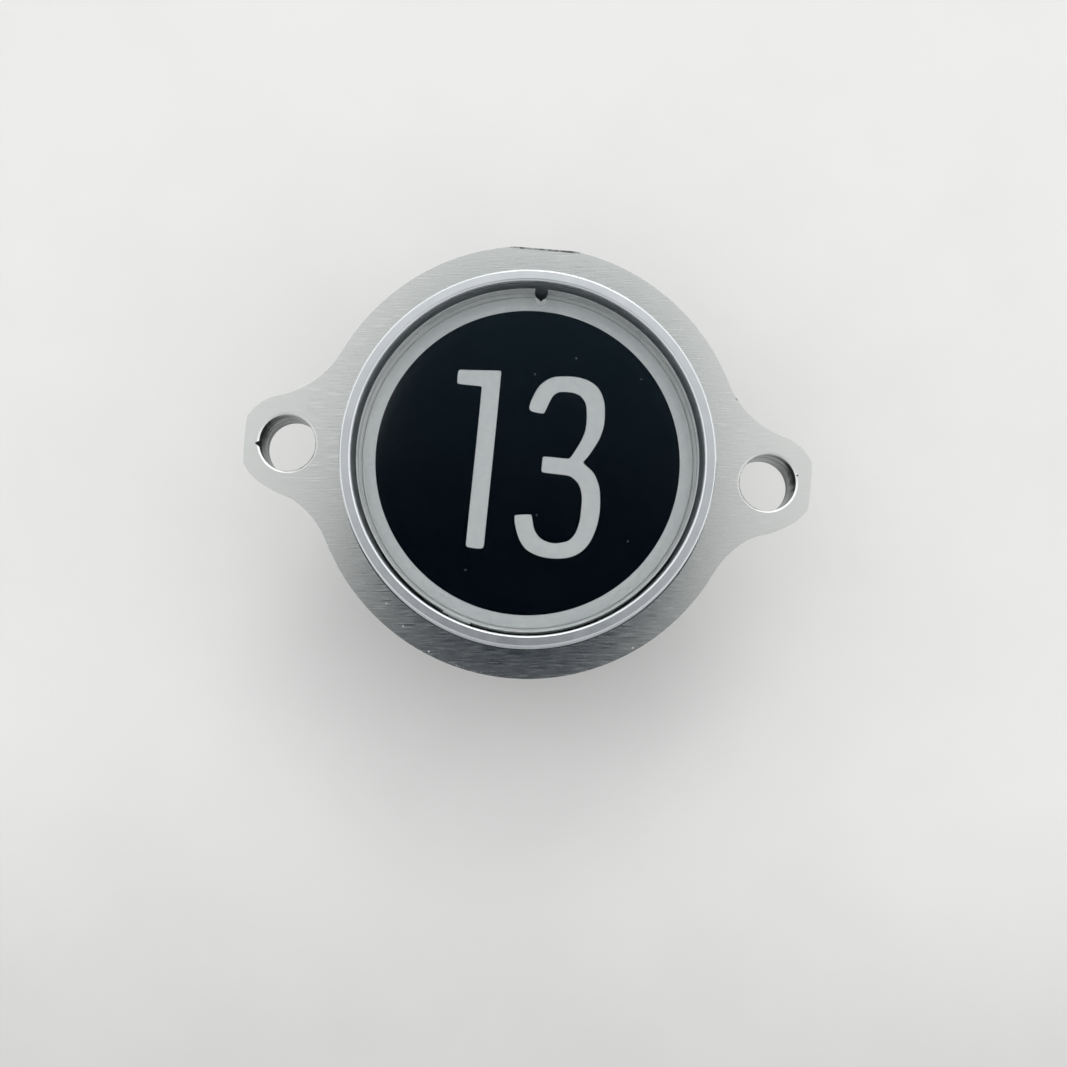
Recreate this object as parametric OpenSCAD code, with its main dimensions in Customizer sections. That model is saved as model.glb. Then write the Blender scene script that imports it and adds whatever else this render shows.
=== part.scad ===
// Lift call button: a metal plate with two pierced ears and a round collar, and in the collar
// a lit pressel that is pushed in against a spring and works a small switch behind it.
// The origin is the centre of the plate's front face. +Z points to the user, +X along the ears,
// +Y is up when the button is on the wall. All sizes are in millimetres.

/* [Collar and plate] */
// Radius of the collar where it goes through the faceplate
collar_r = 18; // [15:0.1:24]
// Height of the collar above the plate, the thickness of the faceplate
collar_h = 2; // [1:0.1:4]
// Width of the collar's flat rim
rim_w = 1.1; // [0.9:0.05:1.6]
// Chamfer on both edges of the rim
rim_chamfer = 0.15; // [0.05:0.05:0.3]
// Step by which the collar's seat in the plate is larger than its proud part
seat_step = 0.2; // [0.2:0.05:0.4]
// Step of the shoulder that holds the collar behind the plate
shoulder_step = 0.4; // [0.2:0.05:0.6]
// Thickness of that shoulder
shoulder_t = 0.8; // [0.5:0.1:1.2]
// Thickness of the plate
plate_t = 3.5; // [2.8:0.1:5]
// Width of the plate's face outside the collar
plate_land = 3.1; // [2.8:0.1:5]
// Distance from the plate's round edge out to the centre of an ear hole
ear_reach = 2.4; // [2:0.1:6]
// Radius of an ear hole, clearance for a 5 mm stud
ear_hole_r = 2.75; // [1.6:0.05:3]
// Width of the chamfer on both ends of an ear hole
ear_hole_chamfer = 0.2; // [0.1:0.05:0.4]
// Depth of that chamfer
ear_hole_chamfer_h = 0.12; // [0.05:0.01:0.3]
// Radius of the round end of an ear
ear_r = 4.7; // [4.2:0.1:6]
// Distance that the ears reach past the hole centres, where the round stock ended
ear_end = 4.2; // [3.6:0.1:6]
// Radius of the hollow curve between an ear and the round edge
ear_fillet_r = 9; // [5:0.5:14]
// Width of the small flat at twelve o'clock
flat_w = 6; // [3:0.5:10]

/* [Pressel] */
// Distance that the pressel travels
travel = 1; // [0.6:0.1:1.6]
// Depth of the lens face below the collar's rim
lens_recess = 0.75; // [0.2:0.05:1]
// Gap between the lens and the collar
lens_gap = 0.37; // [0.3:0.01:0.6]
// Thickness of the lens
lens_t = 2.3; // [1.5:0.1:3.5]
// Chamfer round the lens face
lens_chamfer = 0.2; // [0.1:0.05:0.4]
// Width of the locating notch at twelve o'clock
notch_w = 1.2; // [0.8:0.1:2]
// Depth of the notch from the lens edge
notch_d = 1.15; // [0.8:0.05:2]
// Depth of the notch behind the lens, measured from the same edge and less to stay out of sight
seat_notch_d = 0.8; // [0.6:0.05:1.1]
// Width of the key tab
tab_w = 3.2; // [2:0.1:5]
// Position of the key tab, counted from +X
key_angle = -110; // [-125:1:-95]
// Width of the carrier's rim round the label
carrier_rim_w = 0.4; // [0.3:0.05:0.8]
// Thickness of the lip round that rim, which closes the view past the lens
carrier_lip_t = 0.6; // [0.3:0.1:1]
// Air gap between the lens and the label, which takes the thickness of the print
label_gap = 0.05; // [0.05:0.05:0.2]
// Thickness of the label
label_t = 0.2; // [0.1:0.05:0.5]
// Thickness of the diffuser behind the label
diffuser_t = 0.2; // [0.1:0.05:0.5]
// Thickness of the carrier's plate
carrier_t = 1.2; // [0.8:0.1:2]
// Wall of the carrier's skirt
skirt_wall = 0.8; // [0.6:0.1:1.2]
// Number of sprung hooks on the skirt
hook_n = 3; // [2:1:4]
// Width of a hook
hook_w = 5; // [3:0.5:7]
// Width of the slots beside a hook
hook_slot_w = 0.8; // [0.5:0.1:1.5]
// Distance that a hook's barb stands out
hook_barb = 0.7; // [0.5:0.05:0.8]
// Height of a hook's barb
hook_barb_h = 1.2; // [0.8:0.1:2]
// Width of the guide rib
rib_w = 2; // [1.2:0.1:3]
// Length of the guide rib
rib_l = 2.5; // [1.5:0.1:3]
// Height of the post that works the switch
post_h = 1.7; // [1.4:0.1:4]
// Radius of that post
post_r = 1.8; // [1:0.1:2.5]

/* [Guide sleeve] */
// Wall of the sleeve
sleeve_wall = 0.5; // [0.4:0.05:0.8]
// Height of the metal lip over the sleeve's front end
lip_h = 0.5; // [0.4:0.1:1]
// Length of the sleeve behind the plate
sleeve_tail = 3.5; // [3:0.1:6]
// Step of the sleeve's flange
sleeve_flange_step = 0.9; // [0.9:0.05:1.1]
// Thickness of the sleeve's flange
sleeve_flange_t = 1.2; // [0.8:0.1:2]

/* [Return spring] */
// Mean radius of the spring
spring_r = 9; // [8.8:0.1:9.6]
// Diameter of the spring wire
wire_d = 0.9; // [0.5:0.1:1.1]
// Number of working turns
spring_turns = 3; // [2:0.5:4]

/* [Switch] */
// Length of the switch case
switch_l = 12.8; // [10:0.1:13]
// Width of the switch case
switch_w = 5.8; // [4:0.1:6.5]
// Height of the switch case
switch_h = 6.5; // [5:0.1:8]
// Distance from the case's middle to the plunger
plunger_offset = 0.9; // [0:0.1:1.2]
// Length of the plunger
plunger_l = 2.6; // [1.5:0.1:3]
// Width of the plunger
plunger_w = 1.4; // [0.8:0.1:2]
// Length of the plunger inside the case at rest
plunger_in = 1.5; // [1:0.1:2]
// Distance between the legs of the switch
leg_pitch = 5.08; // [4:0.01:5.5]

/* [Circuit board] */
// Thickness of the board
board_t = 1.6; // [0.8:0.1:2]
// Number of LEDs
led_n = 8; // [4:1:10]
// Length of an LED along the ring
led_l = 3.5; // [2:0.1:4]
// Width of an LED across the ring
led_w = 2.8; // [1.5:0.1:3]
// Height of an LED
led_h = 1.9; // [0.8:0.1:2]
// Number of resistors
resistor_n = 4; // [2:1:4]

/* [Connector] */
// Number of pins
pin_n = 4; // [2:1:4]
// Distance between the pins
pin_pitch = 2.5; // [2:0.1:2.54]
// Width of a square pin
pin_w = 0.64; // [0.5:0.02:0.7]
// Width of the connector shell
shell_w = 5.75; // [5:0.05:6.5]
// Height of the connector shell
shell_h = 7; // [6:0.1:10]
// Wall of the connector shell
shell_wall = 0.8; // [0.6:0.05:1]

/* [Housing] */
// Wall of the housing
housing_wall = 0.9; // [0.8:0.1:1.5]
// Thickness of the housing's mounting flange
housing_flange_t = 2; // [1.5:0.1:3]
// Height of the low ribs that run down the barrel from the gussets
barrel_rib_h = 0.5; // [0.3:0.1:0.8]
// Thickness of the back cover
cover_t = 1.8; // [1.5:0.1:2.5]
// Chamfer round the rear edge of the back cover
cover_chamfer = 0.5; // [0.2:0.1:0.8]
// Width of the two notches where a blade lifts the cover off
pry_w = 4; // [2:0.5:6]
// Depth of the connector below the cover's outer face
connector_recess = 0.4; // [0.1:0.1:1]
// Nominal radius of the screws
screw_r = 1; // [0.8:0.1:1.25]

/* [Hidden] */
$fn = 96;

// Clearances: parts that are bolted or clamped together, and parts that slide
fit_gap = 0.05;
seat_gap = 0.1;
slide_gap = 0.3;
// Overlap that makes a cut run clean through a face
eps = 0.5;

// Radii from the collar inwards and outwards
collar_in_r = collar_r - rim_w;
seat_r = collar_r + seat_step;
plate_bore_r = seat_r + seat_gap;
shoulder_r = seat_r + shoulder_step;
sleeve_r = collar_in_r + sleeve_wall;
sleeve_flange_r = sleeve_r + sleeve_flange_step;
lens_r = collar_in_r - lens_gap;
carrier_r = collar_in_r - slide_gap;
label_r = carrier_r - carrier_rim_w - fit_gap;
tab_r = collar_in_r - slide_gap / 2;
carrier_lip_r = tab_r - 0.03;
skirt_in_r = carrier_r - skirt_wall;
housing_bore_r = sleeve_r + 0.2;
housing_r = housing_bore_r + housing_wall;
plate_r = collar_r + plate_land;
ear_x = plate_r + ear_reach;
stock_r = ear_x + ear_end;

// Levels from the front to the back
lip_z = collar_h - lip_h;
lens_z = collar_h - lens_recess;
lens_under_z = lens_z - lens_t;
label_z = lens_under_z - label_gap;
diffuser_z = label_z - label_t;
carrier_z = diffuser_z - diffuser_t;
carrier_under_z = carrier_z - carrier_t;
sleeve_end_z = -plate_t - sleeve_tail;
skirt_end_z = sleeve_end_z - hook_barb_h;
skirt_root = 0.8;
hook_root_z = carrier_under_z - skirt_root;
rib_end_z = carrier_under_z - rib_l;
plunger_z = carrier_under_z - post_h;
switch_z = plunger_z - travel - 0.1;
board_z = switch_z - switch_h;
board_under_z = board_z - board_t;
shell_end_z = board_under_z - shell_h;
cover_z = shell_end_z - connector_recess;
flange_under_z = -plate_t - housing_flange_t;
housing_end_z = cover_z + cover_t;

// Ears: centre of the hollow curve that touches both the round edge and the ear end
fillet_reach = plate_r + ear_fillet_r;
fillet_x = (pow(fillet_reach, 2) - pow(ear_r + ear_fillet_r, 2) + pow(ear_x, 2)) / (2 * ear_x);
fillet_y = sqrt(pow(fillet_reach, 2) - pow(fillet_x, 2));
flat_y = sqrt(pow(plate_r, 2) - pow(flat_w / 2, 2));
// Room for the corners of a nut on the stud
nut_clear_r = 1.75 * ear_hole_r;

// Screws that hold the housing to the plate, beside the roots of the ears
screw_core_r = screw_r * 0.8;
screw_head_r = screw_r * 1.75;
screw_head_h = screw_r * 1.3;
thread_hole_d = plate_t - 0.9;
thread_gap = 0.02;
plate_screw_r = housing_r + screw_head_r + fit_gap;
plate_screw_angles = [15, 165, 195, 345];

// Screws and bosses of the back cover
boss_n = 3;
boss_r = screw_r + 0.9;
boss_at_r = housing_bore_r - boss_r + 0.3;
boss_first = 60;
boss_gap = 0.3;
boss_short = 0.2;
boss_top_z = board_z - boss_gap;
gusset_w = 1;
web_root = 0.3;
gusset_angles = [45, 90, 135, 225, 270, 315];
barrel_rib_w = 0.8;
barrel_rib_stop = 1;
barrel_chamfer = 0.2;
pry_d = 0.8;
pry_h = 0.6;
cover_screw_l = 5.5;
sunk_head_r = screw_r * 1.9;
sunk_head_h = screw_r * 1.1;
stop_w = 3;
stop_h = 1.4;
stop_reach = 1.5;
post_at_r = housing_bore_r - 1.7;
cover_post_r = 1.3;
cover_lip_h = 1.2;
cover_lip_w = 0.6;

// Board, reflector and lamps
board_r = housing_bore_r - 0.4;
floor_t = 1;
tray_top_r = skirt_in_r - 0.5;
tray_wall = 0.7;
tray_top_z = skirt_end_z - 0.4;
floor_z = board_z + floor_t;
led_gap = 0.2;
led_corner = 0.6;
led_dish_d = 0.2;
led_at_r = spring_r + wire_d / 2 + 0.95 + led_w / 2;
tray_r = led_at_r + led_w / 2 + led_gap + tray_wall + 0.1;
// The board stops reach inwards as far as the reflector leaves room for
stop_in_r = max(housing_bore_r - stop_reach, tray_r + 0.1);
peg_r = 0.6;
// The pegs stand between two LEDs, away from the screw bosses
peg_angles = [0, 135, 225];

// Spring
spring_in_r = spring_r - wire_d / 2;
spring_gap = 0.05;
spigot_r = spring_in_r - 0.2;
spigot_wall = 0.8;
spigot_h = 1.3;
dead_rise = wire_d * 1.08;
spring_low_z = floor_z + spring_gap + wire_d / 2;
spring_high_z = carrier_under_z - spring_gap - wire_d / 2;
spring_pitch = (spring_high_z - spring_low_z - 2 * dead_rise) / spring_turns;
spring_steps = 24;
wire_sides = 8;

// Switch, connector and what is on the back of the board
plunger_gap = 0.2;
leg_w = 0.9;
leg_t = 0.4;
leg_in = 1;
leg_out = 1.9;
leg_hole_r = 0.65;
case_hole_r = 1;
case_hole_pitch = 6.5;
case_seam_z = switch_z - 2;
case_seam = 0.15;
shell_l = (pin_n - 1) * pin_pitch + 4.9;
// The connector lies between the two lower screw bosses
shell_y = -(boss_at_r * sin(boss_first) - boss_r - boss_gap - shell_w / 2);
shell_base = 1.4;
pin_hole_r = 0.5;
pin_free = 0.8;
window_gap = 0.25;
resistor_size = [1.6, 3.2, 0.55];
resistor_pitch = 2.5;
resistor_y = 11.4;
rectifier_at = [-5.6, 5.2];
rectifier_size = [4.7, 3.8, 2.5];
rectifier_leg_w = 0.6;
rectifier_leg_t = 0.25;
rectifier_leg_z = 1.35;
rectifier_foot = 1;
rectifier_bend = 0.2;
rectifier_root = 0.3;
capacitor_at = [6.4, 5.2];
capacitor_r = 2;
capacitor_h = 5;
capacitor_foot = [4.3, 4.3, 0.7];
capacitor_corner = 1;
capacitor_bead = 0.2;

module tube(r_out, r_in, z0, z1) {
    translate([0, 0, z0]) difference() {
        cylinder(r = r_out, h = z1 - z0);
        translate([0, 0, -eps]) cylinder(r = r_in, h = z1 - z0 + 2 * eps);
    }
}

module rod(r, z0, z1) {
    translate([0, 0, z0]) cylinder(r = r, h = z1 - z0);
}

module block(size_x, size_y, z0, z1) {
    translate([-size_x / 2, -size_y / 2, z0]) cube([size_x, size_y, z1 - z0]);
}

// Puts its children at a radius and an angle, turned to face outwards
module polar(r, angle) {
    rotate(angle) translate([r, 0, 0]) children();
}

module around(n, r, first = 0) {
    for (i = [0:n - 1]) polar(r, first + i * 360 / n) children();
}

// Outline of the plate, or the same outline drawn in by a distance
module plate_outline(inset = 0) {
    intersection() {
        difference() {
            union() {
                circle(r = plate_r - inset);
                for (turn = [0, 180]) rotate(turn) {
                    translate([ear_x, 0]) circle(r = ear_r - inset);
                    polygon([[0, 0], [fillet_x, -fillet_y], [ear_x, 0], [fillet_x, fillet_y]]);
                }
            }
            for (side_x = [-1, 1], side_y = [-1, 1])
                translate([side_x * fillet_x, side_y * fillet_y]) circle(r = ear_fillet_r + inset);
            translate([-flat_w, flat_y - inset]) square([2 * flat_w, ear_r]);
        }
        circle(r = stock_r - inset);
    }
}

module ear_hole() {
    translate([0, 0, -plate_t - eps]) cylinder(r = ear_hole_r, h = plate_t + 2 * eps);
    mouth_r = ear_hole_r + 2 * ear_hole_chamfer;
    translate([0, 0, -ear_hole_chamfer_h])
        cylinder(r1 = ear_hole_r, r2 = mouth_r, h = 2 * ear_hole_chamfer_h);
    translate([0, 0, -plate_t - ear_hole_chamfer_h])
        cylinder(r1 = mouth_r, r2 = ear_hole_r, h = 2 * ear_hole_chamfer_h);
}

module flange_plate() {
    color("silver") difference() {
        translate([0, 0, -plate_t]) linear_extrude(plate_t) plate_outline();
        rod(plate_bore_r, -plate_t - eps, eps);
        rod(shoulder_r + fit_gap, -plate_t - eps, -plate_t + shoulder_t + fit_gap);
        for (side = [-1, 1]) translate([side * ear_x, 0, 0]) ear_hole();
        for (angle = plate_screw_angles) polar(plate_screw_r, angle)
            rod(screw_core_r, -plate_t - eps, -plate_t + thread_hole_d);
    }
}

module collar_ring() {
    color("gainsboro") rotate_extrude() polygon([
        [collar_in_r, lip_z],
        [collar_in_r, collar_h - rim_chamfer],
        [collar_in_r + rim_chamfer, collar_h],
        [collar_r - rim_chamfer, collar_h],
        [collar_r, collar_h - rim_chamfer],
        [collar_r, 0],
        [seat_r, 0],
        [seat_r, shoulder_t - plate_t],
        [shoulder_r, shoulder_t - plate_t],
        [shoulder_r, -plate_t],
        [sleeve_r + fit_gap, -plate_t],
        [sleeve_r + fit_gap, lip_z]
    ]);
}

module guide_sleeve() {
    color("dimgray") difference() {
        union() {
            tube(sleeve_r, collar_in_r, sleeve_end_z, lip_z - fit_gap);
            tube(sleeve_flange_r, collar_in_r, -plate_t - sleeve_flange_t, -plate_t);
        }
        rotate(key_angle) translate([collar_in_r - 1, -rib_w / 2 - slide_gap / 2, 0])
            translate([0, 0, rib_end_z - travel - slide_gap / 2])
                cube([sleeve_wall + 1 + fit_gap, rib_w + slide_gap, 20]);
    }
}

// The U-shaped notch through everything that the pressel carries
module notch_cut(depth) {
    notch_l = lens_z - carrier_under_z + 2 * eps;
    translate([0, lens_r - depth + notch_w / 2, carrier_under_z - eps]) {
        cylinder(r = notch_w / 2, h = notch_l, $fn = 48);
        translate([-notch_w / 2, 0, 0]) cube([notch_w, 2 * notch_d, notch_l]);
    }
}

// Part of a disc that reaches out between the lens edge and the collar
module key_tab(z0, z1) {
    intersection() {
        rod(tab_r, z0, z1);
        rotate(key_angle) translate([lens_r - 2, -tab_w / 2, z0]) cube([4, tab_w, z1 - z0]);
    }
}

module lens() {
    color([0.9, 0.94, 0.96, 0.4]) difference() {
        union() {
            rod(lens_r, lens_under_z, lens_z - lens_chamfer);
            translate([0, 0, lens_z - lens_chamfer])
                cylinder(r1 = lens_r, r2 = lens_r - lens_chamfer, h = lens_chamfer);
            key_tab(lens_under_z, lens_z - lens_chamfer);
        }
        notch_cut(notch_d);
    }
}

module label_disc() {
    color([0.1, 0.12, 0.14]) difference() {
        rod(label_r, diffuser_z, label_z);
        notch_cut(seat_notch_d);
    }
}

module diffuser_disc() {
    color("white") difference() {
        rod(label_r, carrier_z, diffuser_z);
        notch_cut(seat_notch_d);
    }
}

// One sprung hook: a finger with a barb that catches behind the sleeve
module hook() {
    half = hook_w / 2 / carrier_r * 180 / PI;
    finger_in_r = skirt_in_r + fit_gap;
    finger_out_r = carrier_r - fit_gap;
    barb_r = carrier_r + hook_barb;
    rotate(-half) rotate_extrude(angle = 2 * half) polygon([
        [finger_in_r, skirt_end_z],
        [finger_out_r, skirt_end_z],
        [barb_r, sleeve_end_z - hook_barb_h / 3],
        [barb_r, sleeve_end_z],
        [finger_out_r, sleeve_end_z],
        [finger_out_r, hook_root_z + skirt_root / 2],
        [finger_in_r, hook_root_z + skirt_root / 2]
    ]);
}

// Opening in the skirt round a hook
module hook_opening() {
    opening_w = hook_w + 2 * hook_slot_w;
    translate([skirt_in_r - 1, -opening_w / 2, skirt_end_z - eps])
        cube([skirt_wall + 2, opening_w, hook_root_z - skirt_end_z + eps]);
}

module guide_rib() {
    intersection() {
        tube(sleeve_r - slide_gap / 2, skirt_in_r + skirt_wall / 2, rib_end_z, carrier_under_z);
        rotate(key_angle) translate([0, -rib_w / 2, rib_end_z]) cube([collar_r, rib_w, rib_l]);
    }
}

module label_carrier() {
    hook_first = key_angle + 180 / hook_n;
    color("ghostwhite") difference() {
        union() {
            rotate_extrude() polygon([
                [0, carrier_under_z],
                [carrier_r, carrier_under_z],
                [carrier_r, lens_under_z - carrier_lip_t],
                [carrier_lip_r, lens_under_z - carrier_lip_t],
                [carrier_lip_r, lens_under_z],
                [0, lens_under_z]
            ]);
            key_tab(carrier_under_z, lens_under_z - carrier_lip_t / 2);
            difference() {
                tube(carrier_r, skirt_in_r, skirt_end_z, carrier_under_z);
                around(hook_n, 0, hook_first) hook_opening();
            }
            around(hook_n, 0, hook_first) hook();
            guide_rib();
            tube(spigot_r, spigot_r - spigot_wall, carrier_under_z - spigot_h, carrier_under_z);
            rod(post_r, plunger_z, carrier_under_z);
            for (angle = [45, 135]) rotate(angle)
                block(2 * spigot_r - spigot_wall, spigot_wall,
                    carrier_under_z - spigot_h / 2, carrier_under_z);
        }
        rod(label_r + fit_gap, carrier_z, lens_under_z + eps);
        notch_cut(seat_notch_d);
    }
}

// Height of the wire's middle after a number of turns: a dead turn, the working turns, a dead turn
function coil_z(turn) =
    spring_low_z
    + dead_rise * min(turn, 1)
    + spring_pitch * max(0, min(turn - 1, spring_turns))
    + dead_rise * max(0, turn - 1 - spring_turns);

module return_spring() {
    rings = (spring_turns + 2) * spring_steps;
    points = [
        for (i = [0:rings], k = [0:wire_sides - 1])
            let (
                a = 360 * i / spring_steps,
                b = 360 * k / wire_sides,
                r = spring_r + wire_d / 2 * cos(b)
            )
            [r * cos(a), r * sin(a), coil_z(i / spring_steps) + wire_d / 2 * sin(b)]
    ];
    sides = [
        for (i = [0:rings - 1], k = [0:wire_sides - 1])
            let (k2 = (k + 1) % wire_sides)
            [i * wire_sides + k, i * wire_sides + k2, (i + 1) * wire_sides + k2, (i + 1) * wire_sides + k]
    ];
    first_cap = [for (k = [wire_sides - 1:-1:0]) k];
    last_cap = [for (k = [0:wire_sides - 1]) rings * wire_sides + k];
    color("gray") polyhedron(points = points, faces = concat(sides, [first_cap, last_cap]), convexity = 10);
}

module reflector() {
    color("white") difference() {
        union() {
            rotate_extrude() polygon([
                [0, board_z],
                [tray_r, board_z],
                [tray_top_r, tray_top_z],
                [tray_top_r - tray_wall, tray_top_z],
                [tray_r - tray_wall, floor_z],
                [0, floor_z]
            ]);
            tube(spring_r + wire_d / 2 + 0.8, spring_r + wire_d / 2 + 0.2, floor_z, floor_z + wire_d);
            for (angle = peg_angles) polar(led_at_r, angle) rod(peg_r, board_under_z, board_z + floor_t / 2);
        }
        translate([plunger_offset, 0, 0])
            block(switch_l + 2 * window_gap, switch_w + 2 * window_gap, board_z - eps, floor_z + eps);
        around(led_n, led_at_r, 180 / led_n)
            block(led_w + 2 * led_gap, led_l + 2 * led_gap, board_z - eps, floor_z + wire_d + eps);
    }
}

module circuit_board() {
    color("darkgreen") difference() {
        rod(board_r, board_under_z, board_z);
        around(boss_n, boss_at_r, boss_first) {
            rod(boss_r + boss_gap, board_under_z - eps, board_z + eps);
            translate([0, -boss_r - boss_gap, board_under_z - eps])
                cube([2 * boss_r, 2 * (boss_r + boss_gap), board_t + 2 * eps]);
        }
        for (i = [-1:1]) translate([plunger_offset + i * leg_pitch, 0, 0])
            rod(leg_hole_r, board_under_z - eps, board_z + eps);
        pin_places() rod(pin_hole_r, board_under_z - eps, board_z + eps);
        for (angle = peg_angles) polar(led_at_r, angle)
            rod(peg_r + fit_gap, board_under_z - eps, board_z + eps);
    }
}

module leds() {
    dish_r = led_w * 0.42;
    x = led_w / 2;
    y = led_l / 2;
    color("khaki") around(led_n, led_at_r, 180 / led_n) difference() {
        translate([0, 0, board_z]) linear_extrude(led_h)
            polygon([[-x, -y], [x, -y], [x, y - led_corner], [x - led_corner, y], [-x, y]]);
        rod(dish_r, board_z + led_h - led_dish_d, board_z + led_h + eps);
    }
}

module resistors() {
    color("black") for (i = [0:resistor_n - 1])
        translate([(i - (resistor_n - 1) / 2) * resistor_pitch, resistor_y, 0])
            block(resistor_size.x, resistor_size.y, board_under_z - resistor_size.z, board_under_z);
}

// Bent leg of the rectifier, from inside its body out and up to the board
module bent_leg() {
    bend = rectifier_bend;
    rotate([90, 0, 90]) translate([0, 0, -rectifier_leg_w / 2]) linear_extrude(rectifier_leg_w) polygon([
        [-rectifier_root, -rectifier_leg_z],
        [bend + rectifier_leg_t, -rectifier_leg_z],
        [bend + rectifier_leg_t, -rectifier_leg_t],
        [rectifier_foot, -rectifier_leg_t],
        [rectifier_foot, 0],
        [bend, 0],
        [bend, rectifier_leg_t - rectifier_leg_z],
        [-rectifier_root, rectifier_leg_t - rectifier_leg_z]
    ]);
}

module rectifier() {
    color("black") translate([rectifier_at.x, rectifier_at.y, 0]) {
        block(rectifier_size.x, rectifier_size.y, board_under_z - rectifier_size.z, board_under_z - 0.2);
        for (turn = [0, 180], side = [-1, 1]) rotate(turn)
            translate([side * rectifier_size.x / 4, rectifier_size.y / 2, board_under_z]) bent_leg();
    }
}

module smoothing_capacitor() {
    x = capacitor_foot.x / 2;
    y = capacitor_foot.y / 2;
    bead_z = -capacitor_foot.z - 3 * capacitor_bead;
    color("lightgray") translate([capacitor_at.x, capacitor_at.y, board_under_z]) {
        translate([0, 0, -capacitor_foot.z]) linear_extrude(capacitor_foot.z) polygon([
            [-x, -y], [x, -y], [x, y - capacitor_corner], [x - capacitor_corner, y],
            [capacitor_corner - x, y], [-x, y - capacitor_corner]
        ]);
        rotate_extrude() polygon([
            [0, -capacitor_h],
            [capacitor_r - capacitor_bead, -capacitor_h],
            [capacitor_r, capacitor_bead - capacitor_h],
            [capacitor_r, bead_z - capacitor_bead],
            [capacitor_r - capacitor_bead, bead_z],
            [capacitor_r, bead_z + capacitor_bead],
            [capacitor_r, -capacitor_foot.z / 2],
            [0, -capacitor_foot.z / 2]
        ]);
    }
}

module switch_case() {
    color("black") difference() {
        translate([plunger_offset, 0, 0]) block(switch_l, switch_w, board_z, switch_z);
        block(plunger_l + 2 * plunger_gap, plunger_w + 2 * plunger_gap,
            switch_z - plunger_in - travel - plunger_gap, switch_z + eps);
        for (side = [-1, 1])
            translate([plunger_offset + side * case_hole_pitch / 2, 0, board_z + case_hole_r + 0.7])
                rotate([90, 0, 0]) cylinder(r = case_hole_r, h = switch_w + 2 * eps, center = true);
        for (i = [-1:1]) translate([plunger_offset + i * leg_pitch, 0, 0])
            block(leg_t + 2 * fit_gap, leg_w + 2 * fit_gap, board_z - eps, board_z + leg_in + fit_gap);
        translate([plunger_offset, 0, 0]) difference() {
            block(switch_l + eps, switch_w + eps, case_seam_z, case_seam_z + case_seam);
            block(switch_l - 2 * case_seam, switch_w - 2 * case_seam, case_seam_z - eps, case_seam_z + eps);
        }
    }
}

module switch_plunger() {
    color("firebrick") block(plunger_l, plunger_w, switch_z - plunger_in, plunger_z);
}

module switch_terminals() {
    color("goldenrod") for (i = [-1:1]) translate([plunger_offset + i * leg_pitch, 0, 0])
        block(leg_t, leg_w, board_under_z - leg_out, board_z + leg_in);
}

module pin_places() {
    for (i = [0:pin_n - 1]) translate([(i - (pin_n - 1) / 2) * pin_pitch, shell_y, 0]) children();
}

module connector_shell() {
    inside_l = shell_l - 2 * shell_wall;
    inside_w = shell_w - 2 * shell_wall;
    color("ivory") difference() {
        translate([0, shell_y, 0]) block(shell_l, shell_w, shell_end_z, board_under_z);
        translate([0, shell_y, 0]) block(inside_l, inside_w, shell_end_z - eps, board_under_z - shell_base);
        for (side = [-1, 1])
            translate([side * shell_l / 4, shell_y + shell_w / 2, 0])
                block(1.2, 2 * shell_wall + eps, shell_end_z - eps, board_under_z - shell_base);
        pin_places()
            block(pin_w + 2 * fit_gap, pin_w + 2 * fit_gap,
                board_under_z - shell_base - eps, board_under_z + eps);
    }
}

module connector_pins() {
    color("gold") pin_places() block(pin_w, pin_w, shell_end_z + pin_free, board_z - fit_gap);
}

// Triangular web between the mounting flange and the barrel
module gusset() {
    reach = plate_r - housing_r;
    translate([housing_r - web_root, gusset_w / 2, -plate_t - housing_flange_t / 2])
        rotate([90, 0, 0]) linear_extrude(gusset_w) polygon([[0, 0], [reach, 0], [0, -3 * reach]]);
}

// Low upright rib on the barrel, which goes on from a gusset to the cover
module barrel_rib() {
    translate([housing_r - web_root, -barrel_rib_w / 2, housing_end_z + barrel_rib_stop])
        cube([barrel_rib_h + web_root, barrel_rib_w, flange_under_z - housing_end_z]);
}

module housing() {
    color([0.12, 0.12, 0.13]) difference() {
        union() {
            translate([0, 0, flange_under_z]) linear_extrude(housing_flange_t) difference() {
                plate_outline(0.2);
                for (side = [-1, 1]) translate([side * ear_x, 0]) circle(r = nut_clear_r);
            }
            rotate_extrude() polygon([
                [housing_bore_r, housing_end_z],
                [housing_r - barrel_chamfer, housing_end_z],
                [housing_r, housing_end_z + barrel_chamfer],
                [housing_r, -plate_t],
                [housing_bore_r, -plate_t]
            ]);
            around(boss_n, boss_at_r, boss_first) rod(boss_r, housing_end_z + boss_short, boss_top_z);
            for (i = [0:boss_n - 1]) rotate(boss_first + (i + 0.5) * 360 / boss_n)
                translate([stop_in_r, -stop_w / 2, board_z])
                    cube([housing_bore_r + web_root - stop_in_r, stop_w, stop_h]);
            for (angle = gusset_angles) rotate(angle) {
                gusset();
                barrel_rib();
            }
        }
        rod(housing_bore_r, flange_under_z - eps, -plate_t);
        rod(sleeve_flange_r + fit_gap, -plate_t - sleeve_flange_t, -plate_t + eps);
        for (angle = plate_screw_angles) polar(plate_screw_r, angle)
            rod(screw_r + 0.1, flange_under_z - eps, -plate_t + eps);
        around(boss_n, boss_at_r, boss_first) rod(screw_core_r, housing_end_z - eps, boss_top_z - 1);
    }
}

// Countersunk head of a cover screw, or its seat with a gap
module sunk_head(gap = 0) {
    translate([0, 0, cover_z + fit_gap])
        cylinder(r1 = sunk_head_r + gap, r2 = screw_core_r + gap, h = sunk_head_h);
}

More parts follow.
